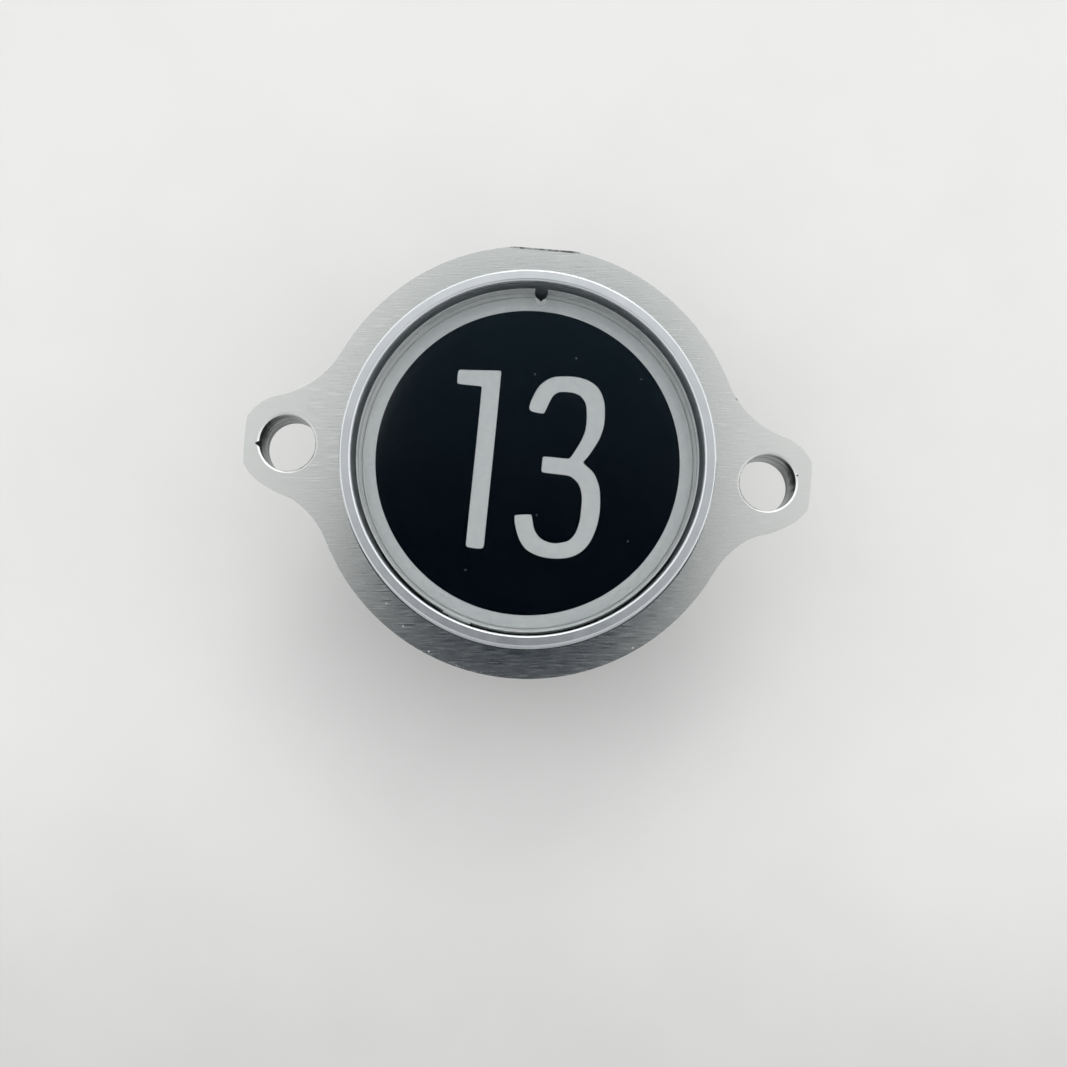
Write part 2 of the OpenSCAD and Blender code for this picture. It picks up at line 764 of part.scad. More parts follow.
module back_cover() {
    color([0.15, 0.15, 0.16]) difference() {
        union() {
            rotate_extrude() polygon([
                [0, cover_z],
                [housing_r - cover_chamfer, cover_z],
                [housing_r, cover_z + cover_chamfer],
                [housing_r, housing_end_z],
                [0, housing_end_z]
            ]);
            tube(housing_bore_r - fit_gap, housing_bore_r - fit_gap - cover_lip_w, housing_end_z,
                housing_end_z + cover_lip_h);
            around(boss_n, post_at_r, boss_first + 180 / boss_n)
                rod(cover_post_r, housing_end_z, board_under_z);
        }
        around(boss_n, boss_at_r, boss_first) {
            rod(boss_r + fit_gap, housing_end_z - fit_gap, housing_end_z + cover_lip_h + eps);
            rod(screw_r + 0.1, cover_z - eps, housing_end_z + eps);
            rod(sunk_head_r + fit_gap, cover_z - eps, cover_z + fit_gap);
            sunk_head(fit_gap);
        }
        translate([0, shell_y, 0])
            block(shell_l + 2 * window_gap, shell_w + 2 * window_gap, cover_z - eps, housing_end_z + eps);
        for (angle = [0, 180]) polar(housing_r, angle)
            block(2 * pry_d, pry_w, housing_end_z - pry_h, housing_end_z + eps);
    }
}

module housing_screws() {
    color("darkgray") for (angle = plate_screw_angles) polar(plate_screw_r, angle) difference() {
        union() {
            rod(screw_core_r - thread_gap, flange_under_z, -plate_t + thread_hole_d - 0.3);
            rod(screw_head_r, flange_under_z - screw_head_h, flange_under_z);
        }
        for (turn = [0, 90]) rotate(turn)
            block(1.6 * screw_r, 0.35 * screw_r, flange_under_z - screw_head_h - eps,
                flange_under_z - screw_head_h / 2);
    }
}

module cover_screws() {
    color("darkgray") around(boss_n, boss_at_r, boss_first) difference() {
        union() {
            rod(screw_core_r - thread_gap, cover_z + fit_gap, cover_z + cover_screw_l);
            sunk_head();
        }
        for (turn = [0, 90]) rotate(turn)
            block(1.6 * screw_r, 0.35 * screw_r, cover_z - eps, cover_z + screw_r / 2);
    }
}

flange_plate();
collar_ring();
guide_sleeve();
lens();
label_disc();
diffuser_disc();
label_carrier();
return_spring();
reflector();
circuit_board();
leds();
resistors();
rectifier();
smoothing_capacitor();
switch_case();
switch_plunger();
switch_terminals();
connector_shell();
connector_pins();
housing();
back_cover();
housing_screws();
cover_screws();
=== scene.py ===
import math
import bpy
import bmesh
from mathutils import Matrix, Vector


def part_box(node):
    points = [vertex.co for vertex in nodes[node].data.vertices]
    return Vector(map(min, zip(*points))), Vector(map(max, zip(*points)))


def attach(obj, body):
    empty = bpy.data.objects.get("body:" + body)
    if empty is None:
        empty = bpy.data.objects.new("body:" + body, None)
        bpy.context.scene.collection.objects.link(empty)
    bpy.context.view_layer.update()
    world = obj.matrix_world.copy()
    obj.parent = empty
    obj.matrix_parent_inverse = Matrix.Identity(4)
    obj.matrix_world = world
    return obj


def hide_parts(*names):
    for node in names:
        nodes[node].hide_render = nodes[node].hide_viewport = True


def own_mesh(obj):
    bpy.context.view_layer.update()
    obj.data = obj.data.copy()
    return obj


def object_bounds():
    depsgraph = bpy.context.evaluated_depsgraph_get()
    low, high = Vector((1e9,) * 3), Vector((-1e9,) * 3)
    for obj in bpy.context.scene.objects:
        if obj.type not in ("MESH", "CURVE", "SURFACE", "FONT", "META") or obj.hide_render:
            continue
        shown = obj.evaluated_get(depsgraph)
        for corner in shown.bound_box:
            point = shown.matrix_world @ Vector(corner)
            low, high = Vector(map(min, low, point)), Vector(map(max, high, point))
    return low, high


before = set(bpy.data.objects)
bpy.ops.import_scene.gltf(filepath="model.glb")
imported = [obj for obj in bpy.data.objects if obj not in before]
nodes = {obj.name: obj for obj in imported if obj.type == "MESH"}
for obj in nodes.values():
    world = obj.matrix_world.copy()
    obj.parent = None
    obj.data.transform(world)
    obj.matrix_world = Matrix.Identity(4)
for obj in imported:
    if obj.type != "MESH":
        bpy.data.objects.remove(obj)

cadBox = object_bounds()
mm = 0.001
noiseSpan = 1.6             # a noise has one line in about this many of its cells
dustGrain = (0.11, 0.05)    # a grain's edge and its full strength, as shares of the space between grains

# The camera hung straight over the plate, a little below the button, turned by a few degrees
photoView = {
    "lens": 28.5,                   # millimetres
    "sensor": 36,
    "place": (1.13, -17.84, 82.3),  # millimetres from the middle of the plate's front face
    "turn": 4.73,                   # degrees
    "shift": (0.0089, 0.1054),      # the picture is a cut of the upper part of the frame
    "sees": (0.001, 20),            # metres, the nearest and the farthest
}

# A pale room, brighter on the far side, its walls brighter than its ceiling. What hangs overhead is dark
roomLight = {
    # how high one looks, as the sine of the angle, and how bright it is there
    "levels": ((0.0, 0.93), (0.30, 1.24), (0.70, 1.18), (0.88, 0.88), (0.96, 0.78)),
    "nearSide": 0.52,
    "farSide": 1.48,
    "horizon": 0.001,               # what lies lower counts as this height
    "darkNear": "172231",
    "darkFar": "3b5260",
    "darkTurn": (0.1, 0.42),        # tangents along Y, between which the near colour turns into the far one
    "darkMiddle": (-0.017, -0.10),  # tangents of the angle off the vertical, along X and Y
    "darkSkew": 0.06,
    "darkHalf": (0.2145, 0.55),
    "darkRound": 3.0,               # 2 is an ellipse, more has squarer corners
    "darkBlur": 0.05,
    "lampSize": (0.6, 0.3),         # metres
    "lampPlace": (0.10, 1.0, 0.8),
    "lampPower": 2.0,
    "lampColour": "fffdfa",
}

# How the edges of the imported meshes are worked
edgeWork = {
    "joinWithin": 0.0001,           # millimetres
    "sharpFrom": 40,                # degrees
}

# Blotches and grain that the two-toned pieces share, sizes in millimetres
bandedWear = {
    "toneSize": 1.0,
    "roughSize": 0.3,
    "roughDrift": 0.04,
    "grain": 0.12,
    "grainDepth": 0.002,
}


def hexColour(text):
    # sRGB hex to linear light, by the standard's own curve
    out = []
    for at in (0, 2, 4):
        part = int(text[at:at + 2], 16) / 255
        out.append(part / 12.92 if part <= 0.04045 else ((part + 0.055) / 1.055) ** 2.4)
    return (*out, 1.0)


def addNode(tree, kind, links=None, stops=None, **settings):
    # one node, with its settings, its sockets (a value, or the output that feeds it) and its ramp
    node = tree.nodes.new("ShaderNode" + kind)
    for name, value in settings.items():
        setattr(node, name, value)
    for name, value in (links or {}).items():
        if isinstance(value, bpy.types.NodeSocket):
            tree.links.new(value, node.inputs[name])
        else:
            node.inputs[name].default_value = value
    if stops:
        ramp = node.color_ramp.elements
        while len(ramp) > 1:
            ramp.remove(ramp[-1])
        ramp[0].position, ramp[0].color = stops[0]
        for place, colour in stops[1:]:
            ramp.new(place).color = colour
    return node


def newMaterial(name):
    material = bpy.data.materials.new(name)
    material.use_nodes = True
    tree = material.node_tree
    tree.nodes.clear()
    shader = addNode(tree, "BsdfPrincipled")
    addNode(tree, "OutputMaterial", {"Surface": shader.outputs["BSDF"]})
    place = addNode(tree, "TexCoord").outputs["Object"]
    return material, tree, shader, place


def wander(tree, place, size, low, high, detail=3.0):
    # a value that drifts between two ends over a size in millimetres. A noise stays mostly within 0.3 and 0.7
    noise = addNode(tree, "TexNoise", {"Vector": place, "Scale": 1 / (size * mm), "Detail": detail})
    return addNode(tree, "MapRange", {"Value": noise.outputs["Fac"], "From Min": 0.3, "From Max": 0.7,
                                      "To Min": low, "To Max": high}).outputs["Result"]


def blendTones(tree, factor, tones):
    return addNode(tree, "Mix", {"Factor": factor, 6: hexColour(tones[0]), 7: hexColour(tones[1])},
                   data_type="RGBA").outputs[2]


def flatten(tree, place):
    # the place without its height, and how far it lies from the axis
    flat = addNode(tree, "VectorMath", {0: place, 1: (1, 1, 0)}, operation="MULTIPLY").outputs["Vector"]
    return flat, addNode(tree, "VectorMath", {0: flat}, operation="LENGTH").outputs["Value"]


def faceRise(tree):
    # the height of the face's normal: 1 looks up, 0 stands upright, -1 looks down
    normal = addNode(tree, "NewGeometry").outputs["True Normal"]
    return addNode(tree, "SeparateXYZ", {"Vector": normal}).outputs["Z"]


def levelness(tree):
    return addNode(tree, "Math", {0: faceRise(tree)}, operation="ABSOLUTE").outputs[0]


def spotAt(tree, flat, spot, fade):
    # mask for a round spot, given by x, y and radius in millimetres, full within its radius divided by fade
    x, y, radius = spot
    away = addNode(tree, "VectorMath", {0: flat, 1: (x * mm, y * mm, 0)}, operation="DISTANCE")
    return addNode(tree, "MapRange", {"Value": away.outputs["Value"], "From Min": radius * mm,
                                      "From Max": radius * mm / fade}).outputs["Result"]


def dusted(tree, place, size, share):
    # mask for a few grains of dust, set as far apart as size in millimetres and about a sixth of it across
    cells = addNode(tree, "TexVoronoi", {"Vector": place, "Scale": 1 / (size * mm)}, voronoi_dimensions="2D")
    lot = addNode(tree, "SeparateXYZ", {"Vector": cells.outputs["Color"]}).outputs["X"]
    drawn = addNode(tree, "Math", {0: lot, 1: share}, operation="LESS_THAN").outputs[0]
    grain = addNode(tree, "MapRange", {"Value": cells.outputs["Distance"], "From Min": dustGrain[0],
                                       "From Max": dustGrain[1]}).outputs["Result"]
    return addNode(tree, "Math", {0: grain, 1: drawn}, operation="MULTIPLY").outputs[0]


def setSurface(tree, shader, colour, rough, height, depth, **sockets):
    # colour and roughness vary over the surface, depth is the height of the relief in millimetres
    tree.links.new(colour, shader.inputs["Base Color"])
    tree.links.new(rough, shader.inputs["Roughness"])
    bump = addNode(tree, "Bump", {"Height": height, "Distance": depth * mm, "Strength": 1.0})
    tree.links.new(bump.outputs["Normal"], shader.inputs["Normal"])
    for socket, value in sockets.items():
        shader.inputs[socket.replace("_", " ")].default_value = value


def makeFinish(name, look):
    # a moulded, plated or printed surface, whose roughness drifts three times as finely as its tones
    material, tree, shader, place = newMaterial(name)
    tone = wander(tree, place, look["toneSize"], 0, 1)
    rough = wander(tree, place, look["toneSize"] / 3, *look["roughness"])
    grain = wander(tree, place, look["grain"], 0, 1)
    setSurface(tree, shader, blendTones(tree, tone, look["tones"]), rough, grain, look["grainDepth"],
               Metallic=look.get("metallic", 0.0))
    return material


def makeBanded(name, look, mask):
    # two finishes on one piece, parted by a mask: the first of each pair where it is 0, the second where 1
    material, tree, shader, place = newMaterial(name)
    share = mask(tree, place)
    tone = wander(tree, place, bandedWear["toneSize"], 0, 1)
    first, second = (blendTones(tree, tone, look[pair]) for pair in ("tones", "otherTones"))
    colour = addNode(tree, "Mix", {"Factor": share, 6: first, 7: second}, data_type="RGBA").outputs[2]
    first, second = look["roughness"]
    base = addNode(tree, "MapRange", {"Value": share, "To Min": first, "To Max": second}).outputs["Result"]
    drift = wander(tree, place, bandedWear["roughSize"], -bandedWear["roughDrift"], bandedWear["roughDrift"])
    rough = addNode(tree, "Math", {0: base, 1: drift}, operation="ADD").outputs[0]
    grain = wander(tree, place, bandedWear["grain"], 0, 1)
    setSurface(tree, shader, colour, rough, grain, bandedWear["grainDepth"])
    if "metallic" in look:
        first, second = look["metallic"]
        metal = addNode(tree, "MapRange", {"Value": share, "To Min": first, "To Max": second})
        tree.links.new(metal.outputs["Result"], shader.inputs["Metallic"])
    return material


def dress(name, material, edgeBreak=0.0, segments=2, slack=0.0):
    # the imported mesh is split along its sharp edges, so it is joined again before it is shaped.
    # Slack draws the faces in a little, where two pieces would share one face
    piece = nodes[name]
    piece.data.materials.clear()
    piece.data.materials.append(material)
    if edgeBreak or slack:
        weld = piece.modifiers.new("joinFaces", "WELD")
        weld.merge_threshold = edgeWork["joinWithin"] * mm
    if slack:
        drawn = piece.modifiers.new("slack", "DISPLACE")
        drawn.mid_level = 0.0
        drawn.strength = -slack * mm
    if edgeBreak:
        bevel = piece.modifiers.new("edgeBreak", "BEVEL")
        bevel.width = edgeBreak * mm
        bevel.segments = segments
        bevel.limit_method = "ANGLE"
        bevel.angle_limit = math.radians(edgeWork["sharpFrom"])
        bevel.harden_normals = True


def makeCamera(look):
    data = bpy.data.cameras.new("photoCamera")
    data.lens = look["lens"]
    data.sensor_width = look["sensor"]
    data.shift_x, data.shift_y = look["shift"]
    data.clip_start, data.clip_end = look["sees"]
    camera = bpy.data.objects.new("photoCamera", data)
    camera.location = Vector(look["place"]) * mm
    camera.rotation_euler = (0, 0, math.radians(look["turn"]))
    bpy.context.scene.collection.objects.link(camera)
    bpy.context.scene.camera = camera


def darkOverhead(tree, way, height, look):
    # mask for what hangs over the plate, an oblong with round corners, and its colour
    slopes = [addNode(tree, "Math", {0: way[axis], 1: height}, operation="DIVIDE").outputs[0]
              for axis in "XY"]
    lean = addNode(tree, "Math", {0: slopes[1], 1: look["darkSkew"]}, operation="MULTIPLY").outputs[0]
    straight = addNode(tree, "Math", {0: slopes[0], 1: lean}, operation="SUBTRACT").outputs[0]
    reach = []
    for slope, middle, half in zip((straight, slopes[1]), look["darkMiddle"], look["darkHalf"]):
        off = addNode(tree, "Math", {0: slope, 1: middle}, operation="SUBTRACT").outputs[0]
        away = addNode(tree, "Math", {0: off}, operation="ABSOLUTE").outputs[0]
        share = addNode(tree, "Math", {0: away, 1: half}, operation="DIVIDE").outputs[0]
        reach.append(addNode(tree, "Math", {0: share, 1: look["darkRound"]}, operation="POWER").outputs[0])
    total = addNode(tree, "Math", {0: reach[0], 1: reach[1]}, operation="ADD").outputs[0]
    span = addNode(tree, "Math", {0: total, 1: 1 / look["darkRound"]}, operation="POWER").outputs[0]
    inside = addNode(tree, "MapRange", {"Value": span, "From Min": 1 + look["darkBlur"],
                                        "From Max": 1 - look["darkBlur"]}, interpolation_type="SMOOTHSTEP")
    start, end = look["darkTurn"]
    deep = addNode(tree, "MapRange", {"Value": slopes[1], "From Min": start, "From Max": end},
                   interpolation_type="SMOOTHSTEP").outputs["Result"]
    return inside.outputs["Result"], blendTones(tree, deep, (look["darkNear"], look["darkFar"]))


def makeRoom(look):
    world = bpy.data.worlds.new("room")
    bpy.context.scene.world = world
    world.use_nodes = True
    tree = world.node_tree
    tree.nodes.clear()
    outward = addNode(tree, "TexCoord").outputs["Generated"]
    way = addNode(tree, "SeparateXYZ", {"Vector": outward}).outputs
    height = addNode(tree, "Math", {0: way["Z"], 1: look["horizon"]}, operation="MAXIMUM").outputs[0]
    # the ramp's colours are kept within 1, so it holds half of each level, and the side's factor is doubled
    levels = [(place, (level / 2, level / 2, level / 2, 1)) for place, level in look["levels"]]
    sky = addNode(tree, "ValToRGB", {"Fac": height}, stops=levels).outputs["Color"]
    side = addNode(tree, "MapRange", {"Value": way["Y"], "From Min": -1.0, "From Max": 1.0,
                                      "To Min": look["nearSide"] * 2, "To Max": look["farSide"] * 2})
    lit = addNode(tree, "VectorMath", {0: sky, "Scale": side.outputs["Result"]}, operation="SCALE")
    inside, dark = darkOverhead(tree, way, height, look)
    room = addNode(tree, "Mix", {"Factor": inside, 6: lit.outputs["Vector"], 7: dark}, data_type="RGBA")
    back = addNode(tree, "Background", {"Color": room.outputs[2], "Strength": 1.0})
    addNode(tree, "OutputWorld", {"Surface": back.outputs["Background"]})


def makeLamp(look):
    lamp = bpy.data.lights.new("windowLight", "AREA")
    lamp.shape = "RECTANGLE"
    lamp.size, lamp.size_y = look["lampSize"]
    lamp.energy = look["lampPower"]
    lamp.color = hexColour(look["lampColour"])[:3]
    piece = bpy.data.objects.new("windowLight", lamp)
    piece.location = look["lampPlace"]
    piece.rotation_euler = (-piece.location).to_track_quat("-Z", "Y").to_euler()
    bpy.context.scene.collection.objects.link(piece)


# Melamine desk, pale and semi-matt, faintly blotched by many wipes, with painted shade that darkens it
# towards the viewer
paleDesk = {
    "tones": ("e4e4e3", "e7e7e6"),
    "paintedShadeTones": ("cfcfce", "d3d3d1"),
    "paintedShadeEdge": (-0.078, -0.028),   # metres along Y, from the painted shade's tones to the plain ones
    "blotch": 14,                   # millimetres
    "sheenSize": 30,
    "roughness": (0.55, 0.62),
    "grain": 0.8,
    "grainDepth": 0.004,
    "side": 3.0,                    # metres
}


def makeFloor(look):
    mesh = bpy.data.meshes.new("floor")
    half = look["side"] / 2
    low = cadBox[0].z
    mesh.from_pydata([(-half, -half, low), (half, -half, low), (half, half, low), (-half, half, low)], [],
                     [(0, 1, 2, 3)])
    piece = bpy.data.objects.new("floor", mesh)
    bpy.context.scene.collection.objects.link(piece)
    material, tree, shader, place = newMaterial("melamineDesk")
    tone = wander(tree, place, look["blotch"], 0, 1)
    along = addNode(tree, "SeparateXYZ", {"Vector": place}).outputs["Y"]
    # painted shade: the desk's colour darkens towards the viewer
    start, end = look["paintedShadeEdge"]
    share = addNode(tree, "MapRange", {"Value": along, "From Min": start, "From Max": end},
                    interpolation_type="SMOOTHSTEP").outputs["Result"]
    colour = addNode(tree, "Mix", {"Factor": share, 6: blendTones(tree, tone, look["paintedShadeTones"]),
                                   7: blendTones(tree, tone, look["tones"])}, data_type="RGBA").outputs[2]
    setSurface(tree, shader, colour, wander(tree, place, look["sheenSize"], *look["roughness"]),
               wander(tree, place, look["grain"], 0, 1), look["grainDepth"])
    mesh.materials.append(material)


makeCamera(photoView)
makeRoom(roomLight)
makeLamp(roomLight)
makeFloor(paleDesk)
print("stage: camera, light and floor are in place")


# Aluminium plate, face brushed on a belt along the ears: the grain stretches every reflection across itself.
# Its sides are milled and turned, so their lines run round the edge
brushedPlate = {
    "tones": ("cbcecc", "dfe1df"),
    "toneSpan": 0.14,               # relief at which a tone is at its end, as a share of the grain's depth
    "roughness": (0.17, 0.32),
    "anisotropic": 0.55,
    "edgeBreak": 0.12,              # millimetres, as the sizes and places below
    "faceFrom": (0.5, 0.9),         # how level a face lies where the brushing starts and where it is full
    "grainAngle": 4.73,             # degrees from the ears, so that the grain lies level in the picture
    "grainSpacing": 0.18,
    "grainLength": 2.2,
    "grainDepth": 0.0065,
    "grainDetail": 1.5,             # how much finer grain lies within the lines
    "patchSize": (1.8, 0.6),        # the belt touched in patches, long ways of the grain
    "patchLeast": 0.15,             # share of the grain between them
    "worn": (18.6, 24.0),           # from this radius to that the grain fades to a plain satin
    "plainShare": 0.22,
    "sideSpacing": 0.10,
    "sideLength": 9.0,
    "holeX": 23.5,
    "holeReach": 2.77,
    # painted shade: the ear-hole walls are coloured dark and light in bands
    "wallShadeTones": ("2a2d30", "a4a8a9"),
    "wallBand": 0.45,               # between the tool's lines in the ear holes
    "wallRun": 0.12,                # share of their change down the hole that they have round it
    # painted shade: the nick, the knocks and the edge under the flat's burr take this dark colour
    "rimShadeColour": "1c1f22",
    "knocks": ((19.95, 7.95, 0.30), (26.3, 0.9, 0.10)),  # x, y and radius of two knocks on the rim
    "knockFade": 2,                 # a knock is full within its radius divided by this
    "nick": (-26.68, -0.29, 0.70),  # tip of the nick by the left hole, and its flare
    "nickLength": 1.0,
    "nickBlur": 0.04,
    "markDepth": 0.25,              # how far the knocks reach down the side
    "flatBurr": (20.70, 3.4),       # the burr on the flat's cut casts a painted shadow: from this Y, this far either side
    "tornSize": 0.5,
    "tornLeast": 0.2,               # share of its darkness that the edge keeps where it is faintest
    "burrPlace": (-4.6, -20.6, 4.6),    # x, y and radius of where the rim kept its burr
    "burrFade": 3,
    "burrRim": 20.92,
    "burrSize": 0.22,
    "burrGrain": (0.30, 0.12),      # a speck's edge and its full height, as shares of the burr's size
    "dustColour": "e6e6e4",
    "dustSize": 0.9,                # between grains, of which few are there
    "dustShare": 0.05,
    "dustFrom": -13.0,              # it lies on the lower half
}


def toolLines(tree, turned, length, spacing, around, detail):
    # lines that a tool left, along the grain or, around the piece, level on its sides
    long, fine = 1 / (length * mm), 1 / (spacing / noiseSpan * mm)
    scale = (long, long, fine) if around else (long, fine, fine)
    stretched = addNode(tree, "Mapping", {"Vector": turned, "Scale": scale}).outputs["Vector"]
    return addNode(tree, "TexNoise", {"Vector": stretched, "Scale": 1.0, "Detail": detail}).outputs["Fac"]


def plateGrain(tree, turned, reach, onFace, look):
    # relief of the grain, around 0. The belt leaves its lines in patches, and most of them beside the collar
    detail = look["grainDetail"]
    belt = toolLines(tree, turned, look["grainLength"], look["grainSpacing"], False, detail)
    cutter = toolLines(tree, turned, look["sideLength"], look["sideSpacing"], True, detail)
    grain = addNode(tree, "Mix", {"Factor": onFace, 2: cutter, 3: belt}).outputs[0]
    long, wide = look["patchSize"]
    patched = addNode(tree, "Mapping", {"Vector": turned, "Scale": (1, long / wide, 1)}).outputs["Vector"]
    patch = wander(tree, patched, long, look["patchLeast"], 1, detail=1.0)
    start, end = look["worn"]
    worn = addNode(tree, "MapRange", {"Value": reach, "From Min": start * mm, "From Max": end * mm,
                                      "To Min": 1.0, "To Max": look["plainShare"]}).outputs["Result"]
    amount = addNode(tree, "Math", {0: patch, 1: worn}, operation="MULTIPLY").outputs[0]
    centred = addNode(tree, "Math", {0: grain, 1: 0.5}, operation="SUBTRACT").outputs[0]
    return addNode(tree, "Math", {0: centred, 1: amount}, operation="MULTIPLY").outputs[0]


def nickAt(tree, parts, look):
    # mask for the painted shade in a notch that opens from its tip, along X
    tipX, tipY, flare = look["nick"]
    along = addNode(tree, "Math", {0: parts["X"], 1: tipX * mm}, operation="SUBTRACT").outputs[0]
    aside = addNode(tree, "Math", {0: parts["Y"], 1: tipY * mm}, operation="SUBTRACT").outputs[0]
    off = addNode(tree, "Math", {0: aside}, operation="ABSOLUTE").outputs[0]
    spread = addNode(tree, "Math", {0: along, 1: flare}, operation="MULTIPLY").outputs[0]
    inside = addNode(tree, "Math", {0: spread, 1: off}, operation="SUBTRACT").outputs[0]
    sharp = addNode(tree, "MapRange", {"Value": inside, "From Min": 0.0, "From Max": look["nickBlur"] * mm})
    short = addNode(tree, "Math", {0: along, 1: look["nickLength"] * mm}, operation="LESS_THAN").outputs[0]
    return addNode(tree, "Math", {0: sharp.outputs["Result"], 1: short}, operation="MULTIPLY").outputs[0]


def flatBurrShadow(tree, place, parts, look):
    # mask for the painted shadow that the torn burr casts along the edge where the flat was cut
    start, side = look["flatBurr"]
    over = addNode(tree, "Math", {0: parts["Y"], 1: start * mm}, operation="GREATER_THAN").outputs[0]
    across = addNode(tree, "Math", {0: parts["X"]}, operation="ABSOLUTE").outputs[0]
    within = addNode(tree, "Math", {0: across, 1: side * mm}, operation="LESS_THAN").outputs[0]
    cut = addNode(tree, "Math", {0: over, 1: within}, operation="MULTIPLY").outputs[0]
    torn = wander(tree, place, look["tornSize"], look["tornLeast"], 1.0)
    return addNode(tree, "Math", {0: cut, 1: torn}, operation="MULTIPLY").outputs[0]


def rimShadeMarks(tree, place, flat, parts, look):
    # mask for the painted shade in the nick and the knocks and under the flat's burr, all of them on the
    # upper part of the rim
    marks = [spotAt(tree, flat, knock, look["knockFade"]) for knock in look["knocks"]]
    dark = nickAt(tree, parts, look)
    for mark in (*marks, flatBurrShadow(tree, place, parts, look)):
        dark = addNode(tree, "Math", {0: dark, 1: mark}, operation="MAXIMUM").outputs[0]
    upper = addNode(tree, "Math", {0: parts["Z"], 1: -look["markDepth"] * mm},
                    operation="GREATER_THAN").outputs[0]
    return addNode(tree, "Math", {0: dark, 1: upper}, operation="MULTIPLY").outputs[0]


def rimBurr(tree, place, flat, reach, look):
    # relief of the specks of metal that the rim kept, most of them in one place
    near = spotAt(tree, flat, look["burrPlace"], look["burrFade"])
    rim = addNode(tree, "Math", {0: reach, 1: look["burrRim"] * mm}, operation="GREATER_THAN").outputs[0]
    held = addNode(tree, "Math", {0: near, 1: rim}, operation="MULTIPLY").outputs[0]
    cells = addNode(tree, "TexVoronoi", {"Vector": place, "Scale": 1 / (look["burrSize"] * mm)})
    start, end = look["burrGrain"]
    speck = addNode(tree, "MapRange", {"Value": cells.outputs["Distance"], "From Min": start,
                                       "From Max": end}).outputs["Result"]
    return addNode(tree, "Math", {0: held, 1: speck}, operation="MULTIPLY").outputs[0]


def holeWallShade(tree, place, flat, look):
    # mask for the walls of the drilled ear holes, and their colour: painted shade in dark and light bands
    # along the tool's lines
    mirrored = addNode(tree, "VectorMath", {0: flat}, operation="ABSOLUTE").outputs["Vector"]
    away = addNode(tree, "VectorMath", {0: mirrored, 1: (look["holeX"] * mm, 0, 0)}, operation="DISTANCE")
    bored = addNode(tree, "Math", {0: away.outputs["Value"], 1: look["holeReach"] * mm},
                    operation="LESS_THAN").outputs[0]
    run = (look["wallRun"], look["wallRun"], 1)
    down = addNode(tree, "Mapping", {"Vector": place, "Scale": run}).outputs["Vector"]
    lines = wander(tree, down, look["wallBand"], 0, 1, detail=1.0)
    return bored, blendTones(tree, lines, look["wallShadeTones"])


def settledDust(tree, flat, parts, onFace, look):
    below = addNode(tree, "Math", {0: parts["Y"], 1: look["dustFrom"] * mm}, operation="LESS_THAN").outputs[0]
    low = addNode(tree, "Math", {0: below, 1: onFace}, operation="MULTIPLY").outputs[0]
    grains = dusted(tree, flat, look["dustSize"], look["dustShare"])
    return addNode(tree, "Math", {0: low, 1: grains}, operation="MULTIPLY").outputs[0]


def brushedAluminium(look):
    material, tree, shader, place = newMaterial("brushedAluminium")
    angle = math.radians(look["grainAngle"])
    turned = addNode(tree, "Mapping", {"Vector": place, "Rotation": (0, 0, -angle)}).outputs["Vector"]
    flat, reach = flatten(tree, place)
    parts = addNode(tree, "SeparateXYZ", {"Vector": place}).outputs
    start, end = look["faceFrom"]
    onFace = addNode(tree, "MapRange", {"Value": levelness(tree), "From Min": start,
                                        "From Max": end}).outputs["Result"]
    height = plateGrain(tree, turned, reach, onFace, look)
    tone = addNode(tree, "MapRange", {"Value": height, "From Min": -look["toneSpan"],
                                      "From Max": look["toneSpan"]}).outputs["Result"]
    smooth, dull = look["roughness"]
    rough = addNode(tree, "MapRange", {"Value": tone, "To Min": dull, "To Max": smooth}).outputs["Result"]
    # painted shade on the ear-hole walls
    bored, paintedWallShade = holeWallShade(tree, place, flat, look)
    metal = addNode(tree, "Mix", {"Factor": bored, 6: blendTones(tree, tone, look["tones"]), 7: paintedWallShade},
                    data_type="RGBA").outputs[2]
    # the nick, knocks and burr's edge get painted shade
    rimShaded = addNode(tree, "Mix", {"Factor": rimShadeMarks(tree, place, flat, parts, look), 6: metal,
                                    7: hexColour(look["rimShadeColour"])}, data_type="RGBA").outputs[2]
    relief = addNode(tree, "Math", {0: height, 1: rimBurr(tree, place, flat, reach, look)},
                     operation="ADD").outputs[0]
    dust = settledDust(tree, flat, parts, onFace, look)
    shown = addNode(tree, "Mix", {"Factor": dust, 6: rimShaded, 7: hexColour(look["dustColour"])},
                    data_type="RGBA").outputs[2]
    setSurface(tree, shader, shown, rough, relief, look["grainDepth"], Anisotropic=look["anisotropic"])
    bare = addNode(tree, "Math", {0: 1.0, 1: dust}, operation="SUBTRACT").outputs[0]
    tree.links.new(bare, shader.inputs["Metallic"])
    # highlights stretch across the grain on the face and up and down on the sides
    normal = addNode(tree, "NewGeometry").outputs["Normal"]
    across = addNode(tree, "VectorMath", {0: normal, 1: (math.cos(angle), math.sin(angle), 0)},
                     operation="CROSS_PRODUCT").outputs["Vector"]
    tangent = addNode(tree, "Mix", {"Factor": onFace, 4: (0, 0, 1), 5: across}, data_type="VECTOR").outputs[1]
    tree.links.new(tangent, shader.inputs["Tangent"])
    return material


dress("flange_plate", brushedAluminium(brushedPlate), brushedPlate["edgeBreak"])


